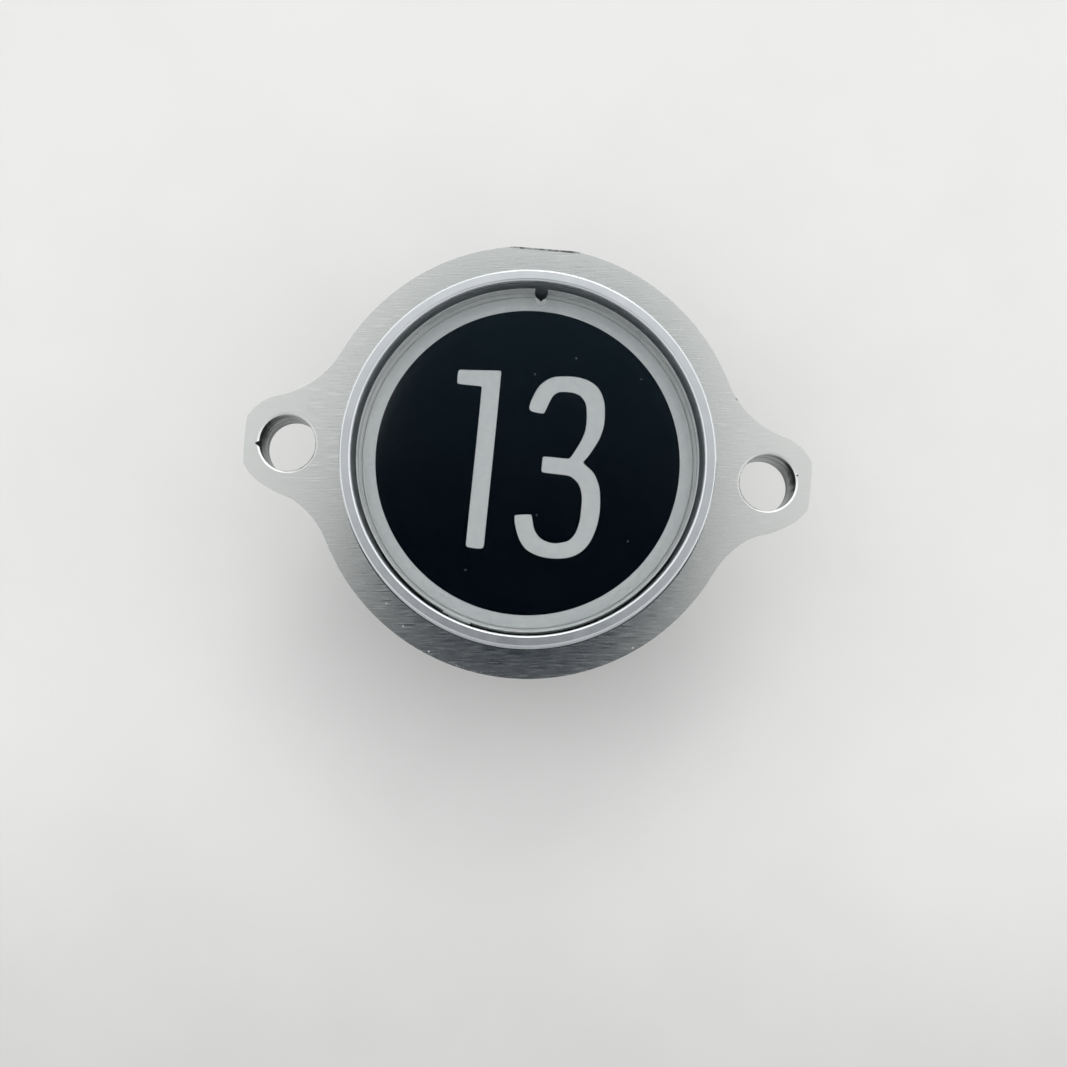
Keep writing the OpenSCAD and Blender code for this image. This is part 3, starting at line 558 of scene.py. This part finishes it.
# Aluminium collar, turned and then blasted fine and anodised clear: even and satin on the rim,
# with lathe rings too faint to count, and a bright outer edge, rounded by the blasting
turnedCollar = {
    "tones": ("d3d7da", "dfe2e5"),
    "toneSize": 3.0,                # millimetres
    "ringSpacing": 0.12,
    "ringDepth": 0.0005,
    "roughness": (0.32, 0.36),
    "roughSize": 1.0,
    "edgeRoughness": 0.12,
    "edgeFrom": 17.70,              # millimetres from the middle
    "edgeLean": (0.62, 0.37),       # how far it looks up, and by how much it may differ
    "seatTop": 0.05,                # the seat in the plate lies lower and was left as turned, pale and dull
    "seatRoughness": 0.75,
    "edgeBreak": 0.06,
    "edgeSegments": 4,
}


def satinAluminium(look):
    material, tree, shader, place = newMaterial("satinAnodisedAluminium")
    height = addNode(tree, "SeparateXYZ", {"Vector": place}).outputs["Z"]
    radius = flatten(tree, place)[1]
    rings = addNode(tree, "CombineXYZ", {"X": radius, "Y": height}).outputs["Vector"]
    ring = wander(tree, rings, look["ringSpacing"], 0, 1)
    outside = addNode(tree, "Math", {0: radius, 1: look["edgeFrom"] * mm},
                      operation="GREATER_THAN").outputs[0]
    # the edge is what leans, neither upright nor level
    middle, spread = look["edgeLean"]
    lean = addNode(tree, "Math", {0: faceRise(tree), 1: middle, 2: spread}, operation="COMPARE").outputs[0]
    edge = addNode(tree, "Math", {0: outside, 1: lean}, operation="MULTIPLY").outputs[0]
    low = addNode(tree, "Math", {0: height, 1: look["seatTop"] * mm}, operation="LESS_THAN").outputs[0]
    satin = wander(tree, place, look["roughSize"], *look["roughness"])
    rubbed = addNode(tree, "Mix", {"Factor": edge, 2: satin, 3: look["edgeRoughness"]}).outputs[0]
    rough = addNode(tree, "Mix", {"Factor": low, 2: rubbed, 3: look["seatRoughness"]}).outputs[0]
    cloud = wander(tree, place, look["toneSize"], 0, 1)
    tone = addNode(tree, "Math", {0: ring, 1: cloud}, operation="MULTIPLY").outputs[0]
    setSurface(tree, shader, blendTones(tree, tone, look["tones"]), rough, ring, look["ringDepth"],
               Metallic=1.0)
    return material


dress("collar_ring", satinAluminium(turnedCollar), turnedCollar["edgeBreak"], turnedCollar["edgeSegments"])
print("stage: the metal front is finished")


# Acetal from the mould: mid grey and dull, faintly mottled where it slides
greySleeve = {
    "tones": ("596064", "656c6f"),
    "toneSize": 1.2,                # millimetres
    "roughness": (0.5, 0.6),
    "grain": 0.2,
    "grainDepth": 0.003,
}
dress("guide_sleeve", makeFinish("mouldedAcetal", greySleeve))

# Cast acrylic: clear and glossy, with the hairlines of many wipes. Its rim is bevelled in the CAD, and broken
# edges would streak what shows through it
clearLens = {
    "tones": ("fdffff", "ffffff"),
    "toneSize": 8,                  # millimetres
    "ior": 1.49,
    "roughness": 0.015,
    "hairline": 0.04,               # roughness along a hairline
    "hairlineWidth": 0.12,
    "hairlineLength": 6.0,
    "hairlineTurn": 50,             # degrees
    "hairlineDetail": 2.0,
    "hairlineFrom": (0.62, 0.70),   # only the peaks of the noise make one
    "waveSize": 6,
    "waveDepth": 0.0002,
    "slack": 0.004,                 # its underside lies on the carrier's rim
}


def clearAcrylic(look):
    material, tree, shader, place = newMaterial("clearAcrylic")
    turn = (0, 0, math.radians(look["hairlineTurn"]))
    turned = addNode(tree, "Mapping", {"Vector": place, "Rotation": turn}).outputs["Vector"]
    width, length = 1 / (look["hairlineWidth"] * mm), 1 / (look["hairlineLength"] * mm)
    scale = (length, width, length)
    stretched = addNode(tree, "Mapping", {"Vector": turned, "Scale": scale}).outputs["Vector"]
    noise = addNode(tree, "TexNoise", {"Vector": stretched, "Scale": 1.0, "Detail": look["hairlineDetail"]})
    start, end = look["hairlineFrom"]
    hair = addNode(tree, "MapRange", {"Value": noise.outputs["Fac"], "From Min": start,
                                      "From Max": end}).outputs["Result"]
    rough = addNode(tree, "MapRange", {"Value": hair, "To Min": look["roughness"],
                                       "To Max": look["hairline"]}).outputs["Result"]
    tone = wander(tree, place, look["toneSize"], 0, 1)
    setSurface(tree, shader, blendTones(tree, tone, look["tones"]), rough,
               wander(tree, place, look["waveSize"], 0, 1), look["waveDepth"], IOR=look["ior"],
               Transmission_Weight=1.0)
    return material


dress("lens", clearAcrylic(clearLens), slack=clearLens["slack"])

# Silver polyester film: satin, with a metal flake too fine to see one by one
silverLabel = {
    "tones": ("eaf0f1", "f3f7f7"),
    "toneSize": 0.5,                # millimetres
    "roughness": (0.48, 0.55),
    "grain": 0.1,
    "grainDepth": 0.0005,
}
dress("label_disc", makeFinish("silverPolyesterFilm", silverLabel))

# Floor number and its black field, screen-printed on the silver label in gloss ink, sizes in millimetres
labelPrint = {
    "fieldRadius": 14.88,
    "fieldStep": 15,                # degrees between the points of its outline
    "curveSteps": 12,               # straight pieces between two points
    "thickness": 0.02,
    "clearance": 0.005,
    "ink": ("04080b", "070b0f"),
    "inkSize": 3,
    "roughness": (0.07, 0.10),
    "roughSize": 1.0,
    "meshSize": 0.1,                # the printing mesh leaves a faint relief
    "meshDepth": 0.00005,
    "dustColour": "565e60",
    "dustSize": 1.3,
    "dustShare": 0.012,
}
# Outline of each figure in millimetres from the middle, close together where the stroke's corners are rounded
figureOne = [(-3.93, -8.7), (-5.01, -8.67), (-5.28, -8.56), (-5.36, -8.37), (-5.07, 6.96), (-5.24, 7.1),
             (-7.4, 7.2), (-7.5, 7.45), (-7.49, 8.33), (-7.32, 8.56), (-7.03, 8.58), (-3.61, 8.78),
             (-3.41, 8.77), (-3.29, 8.58), (-3.58, -7.64), (-3.64, -8.52)]
figureThree = [(2.19, 8.67), (3.85, 8.79), (5.04, 8.61), (5.65, 8.35), (6.17, 7.99), (6.61, 7.43),
               (6.87, 6.87), (7.03, 6.39), (7.14, 5.42), (7.16, 4.64), (7.07, 3.84), (6.72, 2.73),
               (5.88, 1.19), (5.5, 0.66), (5.46, 0.47), (6.51, -0.42), (7.07, -1.46), (7.28, -2.22),
               (7.42, -4.08), (7.24, -5.66), (6.77, -7.07), (6.12, -8.02), (5.2, -8.69), (4.14, -9),
               (3.07, -9.08), (1.88, -8.96), (0.87, -8.59), (0.33, -8.2), (-0.25, -7.36), (-0.71, -6.12),
               (-0.82, -5.25), (-0.59, -5.12), (0.57, -4.98), (0.74, -5.02), (0.83, -5.11), (1.14, -6.26),
               (1.51, -6.88), (2.04, -7.31), (2.74, -7.54), (3.43, -7.57), (4.4, -7.32), (4.77, -7.08),
               (5.23, -6.42), (5.53, -5.31), (5.58, -4.62), (5.6, -3.34), (5.53, -2.66), (5.33, -1.99),
               (4.99, -1.45), (4.46, -1.04), (4.06, -0.89), (1.69, -0.77), (1.44, -0.65), (1.41, -0.45),
               (1.44, 0.63), (1.57, 0.78), (3.92, 0.77), (4.11, 0.88), (4.47, 1.47), (5.08, 2.7),
               (5.39, 3.8), (5.36, 5.47), (5.15, 6.33), (4.71, 6.89), (4.38, 7.08), (3.78, 7.23),
               (2.8, 7.22), (2.33, 7.08), (1.87, 6.62), (1.27, 5.13), (1.12, 4.97), (0.03, 5.08),
               (-0.24, 5.3), (-0.26, 5.59), (-0.09, 6.29), (0.51, 7.58), (1.15, 8.21), (1.71, 8.53)]


def screenInk(look):
    # gloss ink, laid flat by the mesh, with a grain of dust here and there under the lens
    material, tree, shader, place = newMaterial("glossScreenInk")
    ink = blendTones(tree, wander(tree, place, look["inkSize"], 0, 1), look["ink"])
    dust = dusted(tree, place, look["dustSize"], look["dustShare"])
    colour = addNode(tree, "Mix", {"Factor": dust, 6: ink, 7: hexColour(look["dustColour"])},
                     data_type="RGBA").outputs[2]
    setSurface(tree, shader, colour, wander(tree, place, look["roughSize"], *look["roughness"]),
               wander(tree, place, look["meshSize"], 0, 1), look["meshDepth"])
    return material


def roundOutline(data, outline):
    # a closed curve through the points, with each handle along its neighbours' line, a third of the way on
    spline = data.splines.new("BEZIER")
    spline.bezier_points.add(len(outline) - 1)
    spline.use_cyclic_u = True
    points = [Vector((x * mm, y * mm, 0)) for x, y in outline]
    for at, point in enumerate(spline.bezier_points):
        before, here, after = points[at - 1], points[at], points[(at + 1) % len(points)]
        way = (after - before).normalized()
        point.handle_left_type = point.handle_right_type = "FREE"
        point.co = here
        point.handle_left = here - way * (here - before).length / 3
        point.handle_right = here + way * (after - here).length / 3


def makeLabelPrint(look):
    data = bpy.data.curves.new("labelPrint", "CURVE")
    data.dimensions = "2D"
    data.fill_mode = "BOTH"
    data.extrude = look["thickness"] / 2 * mm
    data.resolution_u = look["curveSteps"]
    reach = look["fieldRadius"]
    turns = [math.radians(turn) for turn in range(0, 360, look["fieldStep"])]
    field = [(reach * math.cos(turn), reach * math.sin(turn)) for turn in turns]
    for outline in (field, figureOne, figureThree):
        roundOutline(data, outline)
    curve = bpy.data.objects.new("labelPrintOutline", data)
    bpy.context.scene.collection.objects.link(curve)
    bpy.context.view_layer.update()
    mesh = bpy.data.meshes.new_from_object(curve.evaluated_get(bpy.context.evaluated_depsgraph_get()))
    bpy.data.objects.remove(curve)
    piece = bpy.data.objects.new("label_print", mesh)
    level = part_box("label_disc")[1].z + (look["clearance"] + look["thickness"] / 2) * mm
    mesh.transform(Matrix.Translation((0, 0, level)))
    bpy.context.scene.collection.objects.link(piece)
    mesh.materials.clear()
    mesh.materials.append(screenInk(look))
    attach(piece, "pressel")


makeLabelPrint(labelPrint)

# Polyester film with a matt coat: white and soft, it hides the lamps behind it
frostedFilm = {
    "tones": ("f0f1ef", "f6f6f4"),
    "toneSize": 2,                  # millimetres
    "roughness": (0.6, 0.7),
    "grain": 0.08,
    "grainDepth": 0.001,
}
dress("diffuser_disc", makeFinish("matteDiffuserFilm", frostedFilm))


# Polycarbonate loaded with white: milky, its lip dull from sliding in the collar and painted grey as its
# shade in the gap there
opalCarrier = {
    "tones": ("d9dedd", "e3e7e6"),
    "otherTones": ("5a6361", "69726f"),                 # the lip, painted grey as its shade in the gap
    "roughness": (0.38, 0.5),
    "edgeBreak": 0.06,              # millimetres
    "lipFrom": 16.55,               # the lip lies outside this radius
    "lipOver": -1.75,               # and above this level
    "keyTurn": -110,                # degrees; the key tab gets no painted shade
    "keyReach": 17.2,
    "keyHalf": 1.6,
}


def lipWearAndShade(look):
    # mask for what lies outside a radius and above a level, but not at the key tab: the lip, which is dull
    # and has painted shade
    turn = math.radians(look["keyTurn"])
    key = Vector((math.cos(turn), math.sin(turn), 0)) * look["keyReach"] * mm

    def mask(tree, place):
        flat, reach = flatten(tree, place)
        height = addNode(tree, "SeparateXYZ", {"Vector": place}).outputs["Z"]
        outside = addNode(tree, "Math", {0: reach, 1: look["lipFrom"] * mm}, operation="GREATER_THAN")
        above = addNode(tree, "Math", {0: height, 1: look["lipOver"] * mm}, operation="GREATER_THAN")
        lip = addNode(tree, "Math", {0: outside.outputs[0], 1: above.outputs[0]},
                      operation="MULTIPLY").outputs[0]
        away = addNode(tree, "VectorMath", {0: flat, 1: key}, operation="DISTANCE").outputs["Value"]
        free = addNode(tree, "Math", {0: away, 1: look["keyHalf"] * mm}, operation="GREATER_THAN").outputs[0]
        return addNode(tree, "Math", {0: lip, 1: free}, operation="MULTIPLY").outputs[0]
    return mask


dress("label_carrier", makeBanded("opalPolycarbonate", opalCarrier, lipWearAndShade(opalCarrier)),
      opalCarrier["edgeBreak"])
print("stage: lens, label and carrier are finished")


# Round steel wire, coiled cold, its closed ends ground flat: grey and bright, with the soft sheen of drawing
returnSpring = {
    "turnSteps": 48,
    "wireSides": 16,
    "wire": 0.9,                    # diameter in millimetres
    "turns": 5,                     # with a dead turn at each end
    "deadRise": 1.08,               # pitch of a dead turn in wire diameters
    "grind": 0.14,                  # millimetres taken off each end
    "tones": ("8f9295", "a9acae"),
    "toneSize": 1.5,
    "roughness": (0.24, 0.34),
    "grain": 0.1,
    "grainDepth": 0.001,
    "metallic": 1.0,
}


def wireRings(low, high, look):
    # points of the wire's rings, from the lower end to the upper one
    wire = look["wire"] / 2 * mm
    middle = (high.x - low.x) / 2 - wire
    bottom, top = low.z + wire, high.z - wire
    rise = 2 * wire * look["deadRise"]
    turns = look["turns"]
    pitch = (top - bottom - 2 * rise) / (turns - 2)
    floor, ceiling = low.z + look["grind"] * mm, high.z - look["grind"] * mm
    rings = []
    for step in range(turns * look["turnSteps"] + 1):
        turn = step / look["turnSteps"]
        dead = min(turn, 1) + max(0, turn - turns + 1)
        live = max(0, min(turn - 1, turns - 2))
        centre = bottom + rise * dead + pitch * live
        around = 2 * math.pi * turn
        ring = []
        for side in range(look["wireSides"]):
            along = 2 * math.pi * side / look["wireSides"]
            reach = middle + wire * math.cos(along)
            level = min(max(centre + wire * math.sin(along), floor), ceiling)
            ring.append((reach * math.cos(around), reach * math.sin(around), level))
        rings.append(ring)
    return rings


def makeReturnSpring(look):
    low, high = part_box("return_spring")
    piece = bpy.data.objects.new("return_spring_coil", bpy.data.meshes.new("return_spring_coil"))
    bpy.context.scene.collection.objects.link(piece)
    shape = bmesh.new()
    rings = [[shape.verts.new(point) for point in ring] for ring in wireRings(low, high, look)]
    for before, after in zip(rings, rings[1:]):
        for side in range(look["wireSides"]):
            other = (side + 1) % look["wireSides"]
            shape.faces.new((before[side], before[other], after[other], after[side])).smooth = True
    shape.faces.new(list(reversed(rings[0])))
    shape.faces.new(rings[-1])
    shape.normal_update()
    bmesh.ops.recalc_face_normals(shape, faces=shape.faces)
    shape.to_mesh(piece.data)
    shape.free()
    piece.data.materials.append(makeFinish("coldDrawnSpringSteel", look))
    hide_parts("return_spring")
    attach(piece, "fixed_body")
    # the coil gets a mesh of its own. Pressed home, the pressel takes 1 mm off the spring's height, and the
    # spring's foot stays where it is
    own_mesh(piece)


makeReturnSpring(returnSpring)


# What the housing holds, each with its second tones where a mask parts them; their sizes are in millimetres.
# Glass-epoxy laminate under green solder mask: the mask is glossy, and the cut edge is bare and dull
circuitBoard = {
    "tones": ("9c8a55", "a99560"),
    "otherTones": ("124a2c", "195a36"),
    "roughness": (0.6, 0.32),
    "edgeBreak": 0.05,
}
# White PPA body round a dish of yellow phosphor in clear silicone, which shines a little more
ledLamp = {
    "tones": ("e6e2d6", "eeeade"),
    "otherTones": ("d9b848", "e3c65a"),
    "roughness": (0.4, 0.3),
    "dish": 0.1,                    # the phosphor lies lower than this below the rim
}
# Black glazed ceramic between tinned ends
chipResistor = {
    "tones": ("17181a", "202124"),
    "otherTones": ("c2c4c3", "d0d2d1"),
    "roughness": (0.42, 0.30),
    "metallic": (0, 1),
    "edgeBreak": 0.05,
    "metalEnd": 0.45,
}
# Matt black epoxy with tinned legs
bridgeRectifier = {
    "tones": ("1b1b1c", "242425"),
    "otherTones": ("c2c4c3", "d0d2d1"),
    "roughness": (0.5, 0.30),
    "metallic": (0, 1),
    "edgeBreak": 0.05,
    "metalEnd": 1.0,
}
# Drawn aluminium can, bright, on a dull black foot
canCapacitor = {
    "tones": ("c9cccd", "d6d9da"),
    "otherTones": ("1c1c1d", "262627"),
    "roughness": (0.22, 0.5),
    "metallic": (1, 0),
    "edgeBreak": 0.05,
    "foot": 0.7,
}
lyingFrom = 0.7     # a face whose normal is higher than this, or lower than its opposite, lies level


def lyingBelow(level):
    # mask for the level faces lower than a height in metres
    def mask(tree, place):
        height = addNode(tree, "SeparateXYZ", {"Vector": place}).outputs["Z"]
        lies = addNode(tree, "Math", {0: levelness(tree), 1: lyingFrom}, operation="GREATER_THAN").outputs[0]
        low = addNode(tree, "Math", {0: height, 1: level}, operation="LESS_THAN").outputs[0]
        return addNode(tree, "Math", {0: lies, 1: low}, operation="MULTIPLY").outputs[0]
    return mask


def beyond(axis, middle, half):
    # mask for what lies further than half from the middle along an axis, in metres
    def mask(tree, place):
        along = addNode(tree, "SeparateXYZ", {"Vector": place}).outputs[axis]
        off = addNode(tree, "Math", {0: along, 1: middle}, operation="SUBTRACT").outputs[0]
        away = addNode(tree, "Math", {0: off}, operation="ABSOLUTE").outputs[0]
        return addNode(tree, "Math", {0: away, 1: half}, operation="GREATER_THAN").outputs[0]
    return mask


def metalEnds(low, high, look):
    return beyond("Y", (low.y + high.y) / 2, (high.y - low.y) / 2 - look["metalEnd"] * mm)


def finishBoard():
    # the whole board lies lower than the plate's face, so its mask takes every level face
    dress("circuit_board", makeBanded("greenSolderMask", circuitBoard, lyingBelow(0.0)),
          circuitBoard["edgeBreak"])
    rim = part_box("leds")[1].z
    dress("leds", makeBanded("ledBodyAndPhosphor", ledLamp, lyingBelow(rim - ledLamp["dish"] * mm)))
    low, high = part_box("resistors")
    dress("resistors", makeBanded("thickFilmResistor", chipResistor, metalEnds(low, high, chipResistor)),
          chipResistor["edgeBreak"])
    low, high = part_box("rectifier")
    dress("rectifier", makeBanded("blackEpoxyCase", bridgeRectifier, metalEnds(low, high, bridgeRectifier)),
          bridgeRectifier["edgeBreak"])
    low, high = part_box("smoothing_capacitor")
    foot = beyond("Z", low.z, high.z - low.z - canCapacitor["foot"] * mm)
    dress("smoothing_capacitor", makeBanded("capacitorCan", canCapacitor, foot), canCapacitor["edgeBreak"])


# ABS loaded with white, semi-gloss, so that it throws the lamps' light forward
whiteReflector = {
    "tones": ("eceeed", "f4f5f4"),
    "toneSize": 3,
    "roughness": (0.3, 0.38),
    "grain": 0.3,
    "grainDepth": 0.001,
    "edgeBreak": 0.08,
}
dress("reflector", makeFinish("whiteAbs", whiteReflector), whiteReflector["edgeBreak"])
finishBoard()

# PBT with a glass filler, which leaves it matt
blackSwitch = {
    "tones": ("1a1a1b", "252526"),
    "toneSize": 1.5,
    "roughness": (0.45, 0.55),
    "grain": 0.15,
    "grainDepth": 0.002,
    "edgeBreak": 0.1,
}
dress("switch_case", makeFinish("blackPbt", blackSwitch), blackSwitch["edgeBreak"])

# Red acetal, smooth and a little waxy
redPlunger = {
    "tones": ("a3261f", "b02c24"),
    "toneSize": 1.5,
    "roughness": (0.3, 0.36),
    "grain": 0.3,
    "grainDepth": 0.001,
    "edgeBreak": 0.08,
}
dress("switch_plunger", makeFinish("redAcetal", redPlunger), redPlunger["edgeBreak"])

# Brass under bright tin, softly mottled
tinnedPins = {
    "tones": ("c9c6ba", "d8d6cc"),
    "toneSize": 0.5,
    "roughness": (0.25, 0.35),
    "grain": 0.2,
    "grainDepth": 0.001,
    "metallic": 1.0,
    "edgeBreak": 0.05,
}
pinFinish = makeFinish("tinnedBrass", tinnedPins)
for name in ("switch_terminals", "connector_pins"):
    dress(name, pinFinish, tinnedPins["edgeBreak"])

# Nylon in its natural ivory, moulded and slightly waxy
ivoryShell = {
    "tones": ("e4dfcb", "ebe6d4"),
    "toneSize": 2,
    "roughness": (0.36, 0.44),
    "grain": 0.25,
    "grainDepth": 0.0015,
    "edgeBreak": 0.08,
}
dress("connector_shell", makeFinish("ivoryNylon", ivoryShell), ivoryShell["edgeBreak"])
print("stage: board, switch and connector are finished")


# Black ABS from a spark-eroded mould: an even fine grain that breaks the shine, smooth on the broken edges.
# Dust and handling leave the face a shade lighter here and there
blackHousing = {
    "tones": ("151617", "1d1e1f"),
    "toneSize": 5,                  # millimetres
    "roughness": (0.42, 0.52),
    "roughSize": 2.5,
    "grain": 0.16,
    "grainDepth": 0.006,
    "wornSize": 0.5,
    "wornLeast": 0.6,               # share of the grain's depth that is left where it is most worn
    "edgeBreak": 0.15,
}


def blackAbs(look):
    material, tree, shader, place = newMaterial("blackAbs")
    cells = addNode(tree, "TexVoronoi", {"Vector": place, "Scale": 1 / (look["grain"] * mm)},
                    feature="SMOOTH_F1")
    worn = wander(tree, place, look["wornSize"], look["wornLeast"], 1.0)
    soft = addNode(tree, "Math", {0: cells.outputs["Distance"], 1: worn}, operation="MULTIPLY").outputs[0]
    tone = wander(tree, place, look["toneSize"], 0, 1)
    setSurface(tree, shader, blendTones(tree, tone, look["tones"]),
               wander(tree, place, look["roughSize"], *look["roughness"]), soft, look["grainDepth"])
    return material


housingFinish = blackAbs(blackHousing)
for name in ("housing", "back_cover"):
    dress(name, housingFinish, blackHousing["edgeBreak"])

# Steel, zinc plated and passivated blue: bright, slightly clouded
zincScrews = {
    "tones": ("bcc2c8", "d2d7db"),
    "toneSize": 1.0,                # millimetres
    "roughness": (0.24, 0.34),
    "grain": 0.15,
    "grainDepth": 0.0015,
    "metallic": 1.0,
    "edgeBreak": 0.15,
}
screwFinish = makeFinish("zincPlatedSteel", zincScrews)
for name in ("housing_screws", "cover_screws"):
    dress(name, screwFinish, zincScrews["edgeBreak"])
print("stage: housing, cover and screws are finished")

bpy.context.scene.view_settings.view_transform = "Standard"
